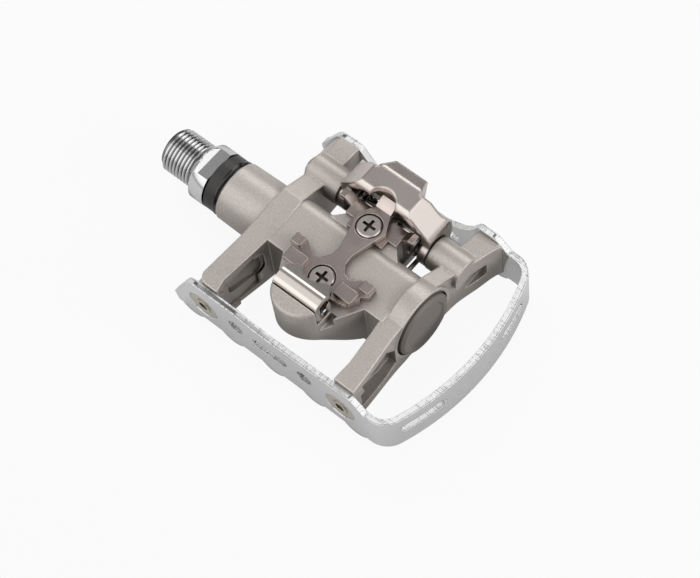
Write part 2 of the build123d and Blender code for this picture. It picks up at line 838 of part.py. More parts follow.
# Plate screws: two pan-head screws with cross recesses
with BuildPart() as plate_screws:
    for x in (screw_front_x, screw_rear_x):
        with Locations((x, centre_y, plate_top - screw_head_length)):
            Cylinder(screw_head_radius, screw_head_length + 0.3, align=(Align.CENTER, Align.CENTER, Align.MIN))
            Cylinder(screw_radius, screw_length, align=(Align.CENTER, Align.CENTER, Align.MAX))
    chamfer(plate_screws.edges().group_by(Axis.Z)[-1], length=0.4)
    with BuildSketch(Plane.XY.offset(plate_top + 0.3)):
        with Locations((screw_front_x, centre_y), (screw_rear_x, centre_y)):
            Rectangle(4.4, 1.0)
            Rectangle(1.0, 4.4)
    extrude(amount=-screw_head_length, mode=Mode.SUBTRACT)
plate_screws.part.label = "plate_screws"

# Front claw: thick sheet bent over the front of the cleat and curled round its pin
with BuildPart() as front_claw:
    with BuildSketch(side_plane(centre_y + front_claw_half_width)):
        with BuildLine():
            sheet_middle = FilletPolyline(
                (lip_x + 0.3, lip_z + 0.3),
                (17.6, front_claw_top - claw_sheet / 2),
                (front_middle, front_claw_top - claw_sheet),
                (front_middle, claw_pin_z),
                radius=1.4,
            )
            CenterArc((claw_pin_x, claw_pin_z), curl_radius, 0, -215)
        trace(line_width=claw_sheet)
    extrude(amount=2 * front_claw_half_width)
    with BuildSketch(Plane.XY):
        with BuildLine():
            Polyline(*mirrored(((0, 5.9), (12.4, 5.9), (15.5, front_claw_half_width),
                                (bumper_back, front_claw_half_width))), close=True)
        make_face()
        with Locations((screw_front_x, centre_y)):
            Circle(notch_radius, mode=Mode.SUBTRACT)
    extrude(amount=front_claw_top + claw_sheet, mode=Mode.INTERSECT)
    with Locations((claw_pin_x, centre_y, deck_top)):
        Box(4 * curl_radius, 2 * knuckle_half_width + 0.6, claw_pin_z + claw_pin_radius + 1.2 - deck_top,
            align=(Align.CENTER, Align.CENTER, Align.MIN), mode=Mode.SUBTRACT)
front_claw.part.label = "front_claw"

# Front claw pin: plain steel pin through the curl and the knuckle
with BuildPart() as front_claw_pin:
    pin_half_length = front_claw_half_width + 0.5
    with Locations(side_plane(centre_y - pin_half_length)):
        with Locations((claw_pin_x, claw_pin_z)):
            Cylinder(claw_pin_radius, 2 * pin_half_length, align=(Align.CENTER, Align.CENTER, Align.MAX))
    chamfer(front_claw_pin.edges(), length=0.25)
front_claw_pin.part.label = "front_claw_pin"

# Rear claw, first its finger tab: the slope at the back that a shoe or a hand can push down
with BuildPart() as claw_tab:
    tab_rear = claw_back - 3.2
    with BuildSketch(Plane.XY):
        with BuildLine():
            Polyline(*mirrored(((-23.0, 7.8), (shoulder_back + 0.5, 7.8), (tab_rear, 5.4))), close=True)
        make_face()
    extrude(amount=claw_top)
    with BuildSketch(side_plane(centre_y + flat_half_width)):
        with BuildLine():
            Polyline((-23.0, claw_top), (shoulder_back - 0.4, claw_top), (tab_rear + 0.4, claw_top - 2.4),
                     (tab_rear, claw_top - 3.8), (claw_back - 0.4, claw_top - 6.1), (-23.0, claw_top - 6.6),
                     close=True)
        make_face()
    extrude(amount=2 * flat_half_width, mode=Mode.INTERSECT)

# The claw's hollow: open in front and below, with a back that clears the springs' upright legs
with BuildPart() as claw_hollow:
    with BuildSketch(side_plane(centre_y + claw_half_width)):
        with BuildLine():
            Polyline((0, -5), (claw_back + claw_wall, -5), (claw_back + claw_wall, claw_top - 8.0),
                     (shoulder_back + claw_wall, claw_top - 5.6), (shoulder_back + claw_wall, claw_top),
                     (0, claw_top), close=True)
        make_face()
    extrude(amount=2 * claw_half_width)
    with BuildSketch(Plane.YZ.offset(cage_rear)):
        with BuildLine():
            inner_half_width = claw_half_width - claw_side_wall
            Polyline(*[(y, z) for z, y in mirrored(((-5, inner_half_width),
                                                    (claw_top - shoulder_height - 0.2, inner_half_width),
                                                    (claw_top - claw_wall, flat_half_width - 2.0)))], close=True)
        make_face()
    extrude(amount=-cage_rear, mode=Mode.INTERSECT)

# Rear claw: hollow casting that turns on the pivot pin by two round legs
with BuildPart() as rear_claw:
    with BuildSketch(side_plane(centre_y + claw_half_width)):
        with BuildLine():
            Polyline((claw_front, claw_top), (shoulder_back + 0.8, claw_top), (shoulder_back, claw_top - 2.2),
                     (shoulder_back, claw_top - 6.1), (claw_back, claw_top - 9.2), (claw_back, pivot_z + 2.5),
                     (claw_back + 2.3, pivot_z - 3.0), (pivot_x, pivot_z - leg_radius),
                     (claw_front, pivot_z + 3.0), close=True)
        make_face()
        with Locations((pivot_x, pivot_z)):
            Circle(leg_radius)
    extrude(amount=2 * claw_half_width)
    with BuildSketch(Plane.YZ.offset(cage_rear)):
        with BuildLine():
            Polyline(*[(y, z) for z, y in mirrored(((-5, claw_half_width),
                                                    (claw_top - shoulder_height, claw_half_width),
                                                    (claw_top, flat_half_width)))], close=True)
        section = make_face()
        fillet(section.vertices().group_by(Axis.Y)[1], radius=shoulder_round)
        fillet(section.vertices().group_by(Axis.Y)[-1], radius=crease_round)
    extrude(amount=-cage_rear, mode=Mode.INTERSECT)
    front_edges = rear_claw.edges().filter_by_position(Axis.X, claw_front - fit_gap, claw_front + fit_gap)
    chamfer(front_edges.group_by(Axis.Z)[-1], length=front_bevel)
    add(claw_tab.part)
    add(claw_hollow.part, mode=Mode.SUBTRACT)
    with Locations((notch_x, centre_y, claw_top)):
        Hole(radius=notch_radius)
    with Locations(side_plane(centre_y + claw_half_width)):
        with Locations((pivot_x, pivot_z)):
            Hole(radius=pin_radius + running_gap)
    with Locations(Plane(origin=(claw_back, centre_y, tension_z), x_dir=(0, 1, 0), z_dir=(-1, 0, 0))):
        CounterBoreHole(radius=tension_radius + running_gap, counter_bore_radius=tension_head_radius + side_gap,
                        counter_bore_depth=head_seat, depth=claw_wall)
rear_claw.part.label = "rear_claw"

# Pivot pin of the rear claw, with a domed head at the crank end
with BuildPart() as pivot_pin:
    with Locations(side_plane(head_seat_y)):
        with Locations((pivot_x, pivot_z)):
            Cylinder(pin_head_radius, pin_head_length, align=(Align.CENTER, Align.CENTER, Align.MIN))
            Cylinder(pin_radius, pin_end - head_seat_y - 0.3,
                     align=(Align.CENTER, Align.CENTER, Align.MAX))
    fillet(pivot_pin.edges().group_by(Axis.Y)[0], radius=0.8 * pin_head_length)
pivot_pin.part.label = "pivot_pin"

# Springs: a mirrored pair of torsion springs round the pivot pin, each with an upright rear leg that
# pushes the tension nut forward and a lower leg anchored in the deck
coil = Helix(
    pitch=spring_pitch,
    height=spring_turns * spring_pitch,
    radius=spring_radius,
    center=(pivot_x, centre_y - leg_y, pivot_z),
    direction=(0, 1, 0),
).rotate(Axis((pivot_x, 0, pivot_z), (0, 1, 0)), 180)

with BuildPart() as spring_inboard:
    with BuildSketch(Plane(origin=coil @ 0, z_dir=coil % 0)):
        RegularPolygon(spring_wire_radius, 8)
    sweep(path=coil, is_frenet=True)
    with BuildSketch(Plane(origin=coil @ 0 - Vector(spring_wire_radius, 0, 0), z_dir=(1, 0, 0))):
        RegularPolygon(spring_wire_radius, 8)
    extrude(amount=deck_rear - pivot_x + anchor_depth + spring_wire_radius - 0.3)
    with BuildSketch(Plane(origin=coil @ 1 - Vector(0, 0, spring_wire_radius), z_dir=(0, 0, 1))):
        RegularPolygon(spring_wire_radius, 8)
    extrude(amount=tension_z - pivot_z + 2.0 + spring_wire_radius)
spring_inboard.part.label = "spring_inboard"

with BuildPart() as spring_outboard:
    add(mirror(spring_inboard.part, about=side_plane(centre_y)))
spring_outboard.part.label = "spring_outboard"

# Tension screw: turned from behind with a hexagon key, its head seated in the rear claw
with BuildPart() as tension_screw:
    seat_x = claw_back + head_seat
    with Locations(Plane(origin=(seat_x, centre_y, tension_z), x_dir=(0, 1, 0), z_dir=(-1, 0, 0))):
        Cylinder(tension_head_radius, tension_head_length, align=(Align.CENTER, Align.CENTER, Align.MIN))
        Cylinder(tension_radius, tension_length, align=(Align.CENTER, Align.CENTER, Align.MAX))
    chamfer(tension_screw.edges().group_by(Axis.X)[0], length=0.4)
    with BuildSketch(Plane(origin=(seat_x - tension_head_length, centre_y, tension_z), x_dir=(0, 1, 0),
                           z_dir=(-1, 0, 0))):
        RegularPolygon(hex_across / 2, 6, major_radius=False)
    extrude(amount=-tension_head_length + 0.8, mode=Mode.SUBTRACT)
tension_screw.part.label = "tension_screw"

# Tension nut: threaded block with wings that the springs push on, moved along by the screw
with BuildPart() as tension_nut:
    nut_rear = pivot_x - spring_radius + spring_wire_radius + 0.1
    with BuildSketch(Plane.YZ.offset(nut_rear)):
        with Locations((centre_y, tension_z)):
            Rectangle(8.4, 5.2)
            with Locations((0, 0.9)):
                Rectangle(2 * nut_wing_reach, 2.6)
            Circle(tension_radius + running_gap, mode=Mode.SUBTRACT)
    extrude(amount=tension_nut_length)
tension_nut.part.label = "tension_nut"

os.makedirs("parts", exist_ok=True)
for piece in (
    spindle, lock_bolt, mouth_seal, bearing_sleeve, inner_balls, outer_balls, bearing_cone, cone_nut,
    body, end_cap, cage, cage_bolts, cleat_plate, cover_plate, plate_screws, front_claw, front_claw_pin,
    rear_claw, pivot_pin, spring_inboard, spring_outboard, tension_screw, tension_nut,
):
    export_step(piece.part, f"parts/{piece.part.label}.step")
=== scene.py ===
# %% [markdown]
# # A dual-purpose bicycle pedal
# This lesson dresses the CAD solids of a left-hand pedal. The real pedal is a cast aluminium body,
# painted silver, with a plated steel cage bolted round it and a sprung claw that holds a shoe's
# cleat. Every CAD node already has its true size and place, so Blender's part is the finish of each
# metal, the soft edges that catch the light, the fine crank thread and merged copies of the
# springs.

# %% Load the imported model
import bpy
import bmesh
from math import cos, hypot, radians, sin, tau
from mathutils import Matrix, Vector


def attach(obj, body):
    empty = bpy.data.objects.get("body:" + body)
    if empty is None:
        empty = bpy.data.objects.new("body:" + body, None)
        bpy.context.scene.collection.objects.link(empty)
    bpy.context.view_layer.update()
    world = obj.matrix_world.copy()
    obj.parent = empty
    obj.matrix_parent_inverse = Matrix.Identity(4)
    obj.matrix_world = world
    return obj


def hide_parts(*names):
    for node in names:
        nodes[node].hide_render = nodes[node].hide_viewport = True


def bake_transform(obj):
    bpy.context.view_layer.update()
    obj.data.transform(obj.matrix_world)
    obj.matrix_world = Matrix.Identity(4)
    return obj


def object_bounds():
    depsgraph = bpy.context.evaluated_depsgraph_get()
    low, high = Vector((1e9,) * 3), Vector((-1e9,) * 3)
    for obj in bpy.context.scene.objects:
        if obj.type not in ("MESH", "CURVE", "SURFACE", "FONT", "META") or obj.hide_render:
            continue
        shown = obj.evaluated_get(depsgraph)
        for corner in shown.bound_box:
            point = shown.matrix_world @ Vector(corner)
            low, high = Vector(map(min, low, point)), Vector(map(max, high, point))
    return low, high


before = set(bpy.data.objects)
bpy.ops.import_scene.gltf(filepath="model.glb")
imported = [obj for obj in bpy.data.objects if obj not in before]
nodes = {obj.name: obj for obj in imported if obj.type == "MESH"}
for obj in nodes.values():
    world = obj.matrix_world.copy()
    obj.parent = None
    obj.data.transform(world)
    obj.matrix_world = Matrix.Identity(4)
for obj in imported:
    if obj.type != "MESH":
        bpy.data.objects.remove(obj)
cad_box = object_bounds()
print("nodes:", len(nodes), "box:", [tuple(round(v, 4) for v in corner) for corner in cad_box])

MM = 0.001
pedal_middle = Vector((0, 45 * MM, 0))

# %% [markdown]
# ## The camera
# The photograph looks down on the pedal from the outboard end with a longish lens, and the pedal
# lies turned in the frame. Three angles say where the camera stands and how it is rolled. The lens
# is given in pixels of the 700 by 578 frame, then turned into millimetres on a 36 mm sensor. The
# camera aims a little beside the pedal's middle, which puts the pedal where the photograph has it.

# %% Set up the camera
azimuth, elevation, roll = radians(139.009), radians(62.152), radians(-9.893)
focal_px, image_width, sensor_width = 2272.6, 700, 36
camera_distance = 651.06 * MM
aim_right, aim_down = 7.68 * MM, 10.441 * MM

back = Vector((cos(elevation) * sin(azimuth), -cos(elevation) * cos(azimuth), sin(elevation)))
level_right = Vector((cos(azimuth), sin(azimuth), 0))
level_up = back.cross(level_right)
camera_right = cos(roll) * level_right + sin(roll) * level_up
camera_up = back.cross(camera_right)
aim = pedal_middle + aim_right * camera_right - aim_down * camera_up

camera_data = bpy.data.cameras.new("photo_camera")
camera_data.sensor_width = sensor_width
camera_data.lens = focal_px / image_width * sensor_width
camera = bpy.data.objects.new("photo_camera", camera_data)
bpy.context.scene.collection.objects.link(camera)
turn = Matrix((camera_right, camera_up, back)).transposed()
camera.matrix_world = Matrix.Translation(aim + camera_distance * back) @ turn.to_4x4()
bpy.context.scene.camera = camera
print("lens:", round(camera_data.lens, 1), "mm, camera at",
      tuple(round(v, 3) for v in camera.location))

# %% [markdown]
# ## Small helpers for node trees
# A material is a tree of nodes, and most of its work is arithmetic on numbers that change over the
# surface. Each helper adds one node and gives back its result, so that the cells below read like
# recipes. A value may be a plain number, which is set, or another node's output, which is linked.

# %% Node helpers
def set_or_link(tree, socket, value):
    if isinstance(value, bpy.types.NodeSocket):
        tree.links.new(value, socket)
    else:
        socket.default_value = value


def math_node(tree, operation, *values):
    node = tree.nodes.new("ShaderNodeMath")
    node.operation = operation
    for socket, value in zip(node.inputs, values):
        set_or_link(tree, socket, value)
    return node.outputs[0]


def vector_node(tree, operation, first, second=None):
    node = tree.nodes.new("ShaderNodeVectorMath")
    node.operation = operation
    set_or_link(tree, node.inputs[0], first)
    if second is not None:
        set_or_link(tree, node.inputs["Scale" if operation == "SCALE" else 1], second)
    return node.outputs["Value" if operation == "DOT_PRODUCT" else "Vector"]


def smooth_range(tree, value, low, high, start=0.0, end=1.0):
    """Goes smoothly from start to end while the value goes from low to high."""
    step = tree.nodes.new("ShaderNodeMapRange")
    step.interpolation_type = "SMOOTHSTEP"
    for label, setting in (("Value", value), ("From Min", low), ("From Max", high),
                           ("To Min", start), ("To Max", end)):
        set_or_link(tree, step.inputs[label], setting)
    return step.outputs["Result"]


def noise_node(tree, where, scale, detail):
    node = tree.nodes.new("ShaderNodeTexNoise")
    node.inputs["Detail"].default_value = detail
    tree.links.new(where, node.inputs["Vector"])
    set_or_link(tree, node.inputs["Scale"], scale)
    return node.outputs["Fac"]


def axes_of(tree, vector):
    apart = tree.nodes.new("ShaderNodeSeparateXYZ")
    tree.links.new(vector, apart.inputs[0])
    return apart.outputs


print("node helpers:", math_node.__name__, vector_node.__name__, smooth_range.__name__,
      noise_node.__name__, axes_of.__name__)

# %% [markdown]
# ## Small helpers for groups
# A group is a small machine with named inputs and outputs, built once and placed in many materials.
# One helper makes an empty group, and the other places a group in a tree with its own values.

# %% Group helpers
def new_group(name, inputs, outputs):
    group = bpy.data.node_groups.new(name, "ShaderNodeTree")
    for label, value in inputs:
        socket = group.interface.new_socket(label, in_out="INPUT", socket_type="NodeSocketFloat")
        socket.default_value = value
    for label, kind in outputs:
        group.interface.new_socket(label, in_out="OUTPUT", socket_type=kind)
    return group, group.nodes.new("NodeGroupInput"), group.nodes.new("NodeGroupOutput")


def place_group(tree, group, values):
    node = tree.nodes.new("ShaderNodeGroup")
    node.name = group.name
    node.node_tree = group
    for label, value in values.items():
        set_or_link(tree, node.inputs[label], value)
    return node.outputs


print("group helpers:", new_group.__name__, place_group.__name__)

# %% [markdown]
# ## Grain, shared by the metals
# Cast paint, plating and blasted steel all show a fine grain, and wider soft stains under it. One
# group makes both from noise on Object coordinates, so that they stay put on the metal, and each
# material says how coarse they are.

# %% Grain group
grain, grain_in, grain_out = new_group(
    "metal_grain", [("Size", 3000.0), ("Stain Size", 90.0)],
    [("Grain", "NodeSocketFloat"), ("Stain", "NodeSocketFloat")])
grain_detail, stain_detail = 4.0, 3.0
on_metal = grain.nodes.new("ShaderNodeTexCoord").outputs["Object"]
grain.links.new(noise_node(grain, on_metal, grain_in.outputs["Size"], grain_detail),
                grain_out.inputs["Grain"])
grain.links.new(noise_node(grain, on_metal, grain_in.outputs["Stain Size"], stain_detail),
                grain_out.inputs["Stain"])
print("group:", grain.name)

# %% [markdown]
# ## Soft edges, shared by most finishes
# Casting, plating and handling round every real edge by a few tenths of a millimetre, and the
# rounding shows as a thin bright or dark line. A Bevel modifier could round the mesh, but it keeps
# its width below the smallest edge anywhere in a piece, and these pieces have tiny edges beside
# large ones. A Bevel node in the shader only turns the normal near an edge, whatever the mesh, so
# the group below uses that. Its radius is the one input.

# %% Soft edge group
soft_edge, soft_edge_in, soft_edge_out = new_group(
    "soft_edge", [("Radius", 0.4 * MM)], [("Normal", "NodeSocketVector")])
rounded = soft_edge.nodes.new("ShaderNodeBevel")
rounded.samples = 8
soft_edge.links.new(soft_edge_in.outputs["Radius"], rounded.inputs["Radius"])
soft_edge.links.new(rounded.outputs["Normal"], soft_edge_out.inputs["Normal"])
print("group:", soft_edge.name)

# %% [markdown]
# ## Sheared edges, for the pressed steel
# A press cuts sheet half by slicing and half by tearing, so the cut edge is paler and duller than
# the polished faces, and fine cracks run straight across it. The group finds faces that look up or
# down by their own normal. Its cracks are the places where a one-dimensional noise, taken along the
# strip, crosses its middle value: along Y on the two rails and along X on the bow. A second noise
# keeps them in patches.

# %% Sheared edge group
sheared, sheared_in, sheared_out = new_group(
    "sheared_edge", [("Crack Scale", 1500.0), ("Bow Start", 88 * MM)],
    [("Mask", "NodeSocketFloat"), ("Cracks", "NodeSocketFloat")])
tilted, level_face = 0.6, 0.9
crack_core, crack_rim, crack_detail = 0.004, 0.03, 2.0
patch_scale, patch_detail, patch_low, patch_high = 900.0, 2.0, 0.4, 0.55

coords = sheared.nodes.new("ShaderNodeTexCoord")
facing_up = math_node(sheared, "ABSOLUTE", axes_of(sheared, coords.outputs["Normal"])["Z"])
mask = smooth_range(sheared, facing_up, tilted, level_face)
spot = axes_of(sheared, coords.outputs["Object"])
on_bow = math_node(sheared, "GREATER_THAN", spot["Y"], sheared_in.outputs["Bow Start"])
along = sheared.nodes.new("ShaderNodeMix")
for label, value in (("Factor", on_bow), ("A", spot["Y"]), ("B", spot["X"])):
    sheared.links.new(value, along.inputs[label])

waves = sheared.nodes.new("ShaderNodeTexNoise")
waves.noise_dimensions = "1D"
waves.inputs["Detail"].default_value = crack_detail
sheared.links.new(along.outputs["Result"], waves.inputs["W"])
sheared.links.new(sheared_in.outputs["Crack Scale"], waves.inputs["Scale"])
from_middle = math_node(sheared, "ABSOLUTE",
                        math_node(sheared, "SUBTRACT", waves.outputs["Fac"], 0.5))
thin = math_node(sheared, "SUBTRACT", 1.0,
                 smooth_range(sheared, from_middle, crack_core, crack_rim))
patches = noise_node(sheared, coords.outputs["Object"], patch_scale, patch_detail)
patchy = smooth_range(sheared, patches, patch_low, patch_high)
sheared.links.new(mask, sheared_out.inputs["Mask"])
sheared.links.new(
    math_node(sheared, "MULTIPLY", math_node(sheared, "MULTIPLY", thin, patchy), mask),
    sheared_out.inputs["Cracks"])
print("group:", sheared.name)

# %% [markdown]
# ## One recipe for a finish
# A finish is a base colour, how metallic and how rough it is, how far the grain shifts the colour,
# how deep the grain feels, and how far its edges are rounded, in millimetres. Plain numbers go on
# the shader's own sockets, and only what changes over the surface comes from a group. The soft edge
# goes into the bump's normal, so the grain runs over the rounding as it does on real metal.

# %% A finish from the groups
rough_swing = 0.1


def metal_finish(name, colour, metallic, roughness, grain_size=3000.0, shade=0.1, bump=0.1,
                 bump_depth=0.02, stain=0.05, stain_size=90.0, coat=0.0, edge_round=0.0):
    material = bpy.data.materials.new(name)
    material.use_nodes = True
    tree = material.node_tree
    shader = tree.nodes["Principled BSDF"]
    shader.inputs["Metallic"].default_value = metallic
    shader.inputs["Coat Weight"].default_value = coat
    skin = place_group(tree, grain, {"Size": grain_size, "Stain Size": stain_size})

    steady = math_node(tree, "MULTIPLY_ADD", skin["Stain"], stain, 1.0 - (shade + stain) / 2)
    brightness = math_node(tree, "MULTIPLY_ADD", skin["Grain"], shade, steady)
    tree.links.new(vector_node(tree, "SCALE", colour, brightness), shader.inputs["Base Color"])
    rough = math_node(tree, "MULTIPLY_ADD", skin["Stain"], rough_swing,
                      roughness - rough_swing / 2)
    tree.links.new(rough, shader.inputs["Roughness"])

    dents = tree.nodes.new("ShaderNodeBump")
    dents.name = "dents"
    dents.inputs["Strength"].default_value = bump
    dents.inputs["Distance"].default_value = bump_depth * MM
    tree.links.new(skin["Grain"], dents.inputs["Height"])
    tree.links.new(dents.outputs["Normal"], shader.inputs["Normal"])
    if edge_round > 0:
        edge = place_group(tree, soft_edge, {"Radius": edge_round * MM})
        tree.links.new(edge["Normal"], dents.inputs["Normal"])
    return material


print("finish recipe:", metal_finish.__name__)

# %% [markdown]
# ## The finishes of this pedal
# The body is a warm silver paint with metal flakes in it. The cage and spindle are chromed, and the
# claws and the cleat plate are nickel plated, which is browner. The screws are zinc plated, the cap
# is grey plastic, the collar is black resin and the seal is glossy rubber. The springs and the
# bearing's sleeve, cone and nut are bare steel.

# %% Paints, platings and plastics
body_paint = metal_finish(
    "body_paint", (0.57, 0.525, 0.485), 0.6, 0.38, grain_size=2300, shade=0.7,
    bump=0.5, bump_depth=0.05, stain=0.1, stain_size=60, edge_round=0.8)
cage_chrome = metal_finish(
    "cage_chrome", (0.86, 0.86, 0.86), 1.0, 0.14, grain_size=900, shade=0.05,
    bump=0.12, bump_depth=0.03, edge_round=0.35)
spindle_chrome = metal_finish("spindle_chrome", (0.83, 0.83, 0.84), 1.0, 0.17, grain_size=1800)
claw_nickel = metal_finish(
    "claw_nickel", (0.82, 0.76, 0.70), 1.0, 0.2, grain_size=1600, bump=0.12, edge_round=0.4)
rear_claw_satin = metal_finish(
    "rear_claw_satin", (0.80, 0.725, 0.68), 1.0, 0.28, grain_size=3200, shade=0.15,
    bump=0.2, edge_round=1.4)
plate_nickel = metal_finish(
    "plate_nickel", (0.72, 0.615, 0.575), 1.0, 0.25, grain_size=2200, shade=0.2,
    bump=0.25, stain=0.2, stain_size=200, edge_round=0.35)
plate_screw_zinc = metal_finish(
    "plate_screw_zinc", (0.8, 0.73, 0.69), 1.0, 0.3, grain_size=2500, shade=0.2, edge_round=0.2)
screw_zinc = metal_finish(
    "screw_zinc", (0.74, 0.68, 0.63), 1.0, 0.28, grain_size=2500, shade=0.2, edge_round=0.2)
pin_polish = metal_finish(
    "pin_polish", (0.86, 0.82, 0.80), 1.0, 0.1, grain_size=1200, edge_round=0.3)
bolt_nickel = metal_finish("bolt_nickel", (0.68, 0.64, 0.56), 1.0, 0.35, edge_round=0.2)
spring_steel = metal_finish("spring_steel", (0.3, 0.28, 0.26), 1.0, 0.25)
ground_steel = metal_finish("ground_steel", (0.55, 0.55, 0.55), 1.0, 0.22)
cap_plastic = metal_finish(
    "cap_plastic", (0.17, 0.153, 0.14), 0.0, 0.45, grain_size=2200, edge_round=0.4)
collar_resin = metal_finish(
    "collar_resin", (0.035, 0.032, 0.03), 0.0, 0.4, grain_size=2200, edge_round=0.3)
seal_rubber = metal_finish("seal_rubber", (0.006, 0.006, 0.006), 0.0, 0.12, coat=0.5)
print("materials in the file:", len(bpy.data.materials))

# %% [markdown]
# ## Painted shade in hollows
# Corners and slots, the crosses of the screws and the bottom of the thread are darkened in the base
# colour: painted shade, where little light reaches. One group finds the corners by how much of the
# sky is hidden within a short distance. The other darkens by a measure that the material gives it,
# which is the height for the screws and the distance from the axis for the thread. What they put
# out is 1 on open metal and falls to the darkest value in the hollow.

# %% Groups for painted shade
def rise_from(tree, share, darkest):
    """The darkest value where the share is 0, and 1 where it is 1."""
    return math_node(tree, "MULTIPLY_ADD", share,
                     math_node(tree, "SUBTRACT", 1.0, darkest), darkest)


# Painted shade in corners: ambient occlusion lowers the colour towards the darkest value.
corners, corners_in, corners_out = new_group(
    "corner_shade", [("Distance", 5 * MM), ("Darkest", 0.4)], [("Unshaded", "NodeSocketFloat")])
open_sky = corners.nodes.new("ShaderNodeAmbientOcclusion")
open_sky.samples = 8
corners.links.new(corners_in.outputs["Distance"], open_sky.inputs["Distance"])
corners.links.new(rise_from(corners, open_sky.outputs["AO"], corners_in.outputs["Darkest"]),
                  corners_out.inputs["Unshaded"])

# Painted shade in hollows: below the high value of the measure the colour falls to the darkest.
hollows, hollows_in, hollows_out = new_group(
    "dark_hollow", [("Measure", 0.0), ("Low", 0.0), ("High", 1 * MM), ("Darkest", 0.3)],
    [("Unshaded", "NodeSocketFloat")])
out_of_hollow = smooth_range(hollows, hollows_in.outputs["Measure"], hollows_in.outputs["Low"],
                             hollows_in.outputs["High"])
hollows.links.new(rise_from(hollows, out_of_hollow, hollows_in.outputs["Darkest"]),
                  hollows_out.inputs["Unshaded"])
print("groups:", corners.name, hollows.name)


# %% Darken a base colour
def scale_colour(material, share):
    tree = material.node_tree
    base = tree.nodes["Principled BSDF"].inputs["Base Color"]
    tree.links.new(vector_node(tree, "SCALE", base.links[0].from_socket, share), base)


def corner_shade(material, distance, darkest):
    unshaded = place_group(material.node_tree, corners,
                        {"Distance": distance * MM, "Darkest": darkest})["Unshaded"]
    scale_colour(material, unshaded)
    return unshaded


def darken_hollow(material, measure, low, high, darkest):
    limits = {"Measure": measure, "Low": low, "High": high, "Darkest": darkest}
    scale_colour(material, place_group(material.node_tree, hollows, limits)["Unshaded"])


def object_axes(tree):
    return axes_of(tree, tree.nodes.new("ShaderNodeTexCoord").outputs["Object"])


print("dirt helpers:", corner_shade.__name__, darken_hollow.__name__)

# %% Painted shade in the corners
# Each finish is darkened near its corners, as far as the distance reaches: painted shade.
shade_reach = (
    (plate_nickel, 5, 0.2), (rear_claw_satin, 7, 0.2), (claw_nickel, 4, 0.2),
    (cage_chrome, 2.5, 0.3), (bolt_nickel, 2, 0.3), (screw_zinc, 3, 0.3))
for material, distance, darkest in shade_reach:
    corner_shade(material, distance, darkest)
body_unshaded = corner_shade(body_paint, 14, 0.45)
print("painted corner shade:", body_paint.name, [entry[0].name for entry in shade_reach])

# %% Dark crosses of the plate screws
# Painted shade: the crosses of the plate screws are darker below their rim.
cross_bottom, cross_rim, cross_darkest = 11.5 * MM, 11.9 * MM, 0.12
darken_hollow(plate_screw_zinc, object_axes(plate_screw_zinc.node_tree)["Z"],
              cross_bottom, cross_rim, cross_darkest)
print("dark below", round(cross_rim / MM, 1), "mm:", plate_screw_zinc.name)

# %% Dark valleys of the crank thread
thread_near_end, thread_far_end = -0.3 * MM, -12.5 * MM
valley_radius, crest_radius, valley_darkest = 6.35 * MM, 7.1 * MM, 0.3

tree = spindle_chrome.node_tree
axes = object_axes(tree)
from_axis = math_node(tree, "SQRT", math_node(
    tree, "ADD", math_node(tree, "POWER", axes["X"], 2.0),
    math_node(tree, "POWER", axes["Z"], 2.0)))
# Beyond the thread's ends this adds a whole metre to the distance, which leaves the colour
# undarkened.
off_thread = math_node(tree, "ADD",
                       math_node(tree, "GREATER_THAN", axes["Y"], thread_near_end),
                       math_node(tree, "LESS_THAN", axes["Y"], thread_far_end))
# Painted shade: the valleys of the thread are darker than its crests.
darken_hollow(spindle_chrome, math_node(tree, "ADD", from_axis, off_thread),
              valley_radius, crest_radius, valley_darkest)
print("dark inside radius", round(crest_radius / MM, 1), "mm:", spindle_chrome.name)

# %% [markdown]
# ## Brighter edges of the body
# The silver paint is made brighter on its outer edges than on the faces beside them: a painted
# highlight, as light catches on the rounded edges. The soft edge's normal leaves the face's own
# normal only near an edge, so the angle between the two is a mask of the edges. Inner corners would
# be in it too, so the mask is multiplied by the corner shade's value, which is low in corners.

# %% Paint a highlight on the body's edges
highlight_begins, highlight_full, highlight_gain = 0.02, 0.1, 0.45

tree = body_paint.node_tree
straightness = vector_node(tree, "DOT_PRODUCT",
                           tree.nodes.new("ShaderNodeNewGeometry").outputs["Normal"],
                           tree.nodes["soft_edge"].outputs["Normal"])
rounding = math_node(tree, "SUBTRACT", 1.0, straightness)
# Painted highlight on the outer edges of the body.
edge_highlight = math_node(tree, "MULTIPLY", smooth_range(tree, rounding, highlight_begins, highlight_full),
                 body_unshaded)
scale_colour(body_paint, math_node(tree, "MULTIPLY_ADD", edge_highlight, highlight_gain, 1.0))
print("painted edge highlight:", body_paint.name, "up to", 1 + highlight_gain, "times as bright")

# %% [markdown]
# ## The cage's cut edge
# On the cut edge the chrome gives way to a pale, dull metal. Near the outer side a dark line is
# painted in, where a widely rounded edge normal leans outward, away from the middle of the cage: a
# painted reflection of dark surroundings in the rounded edge. The cracks are dark and a little
# sunk.

# %% Find the line along the cage's edge
line_begins, line_full, line_fades, line_gone = 0.17, 0.23, 0.29, 0.35
wide_radius = 0.9 * MM

tree = cage_chrome.node_tree
cut = place_group(tree, sheared, {})
spot = tree.nodes.new("ShaderNodeTexCoord").outputs["Object"]
straight_out = vector_node(tree, "NORMALIZE",
                           vector_node(tree, "SUBTRACT", spot, pedal_middle))
wide_edge = tree.nodes.new("ShaderNodeBevel")
wide_edge.samples = 16
wide_edge.inputs["Radius"].default_value = wide_radius
lean = vector_node(tree, "DOT_PRODUCT", straight_out, wide_edge.outputs["Normal"])
# The dark line is a painted reflection where the rounded edge leans outward.
line = math_node(tree, "SUBTRACT", smooth_range(tree, lean, line_begins, line_full),
                 smooth_range(tree, lean, line_fades, line_gone))
line = math_node(tree, "MULTIPLY", line, cut["Mask"])
print("line along the edge where the normal leans out by", line_begins, "to", line_gone)

# %% Colour, dull and crack the cage's edge
crack_share, darkening = 0.75, 0.85
less_metallic, more_rough = 0.65, 0.25
crack_strength, crack_depth = 0.6, 0.1 * MM

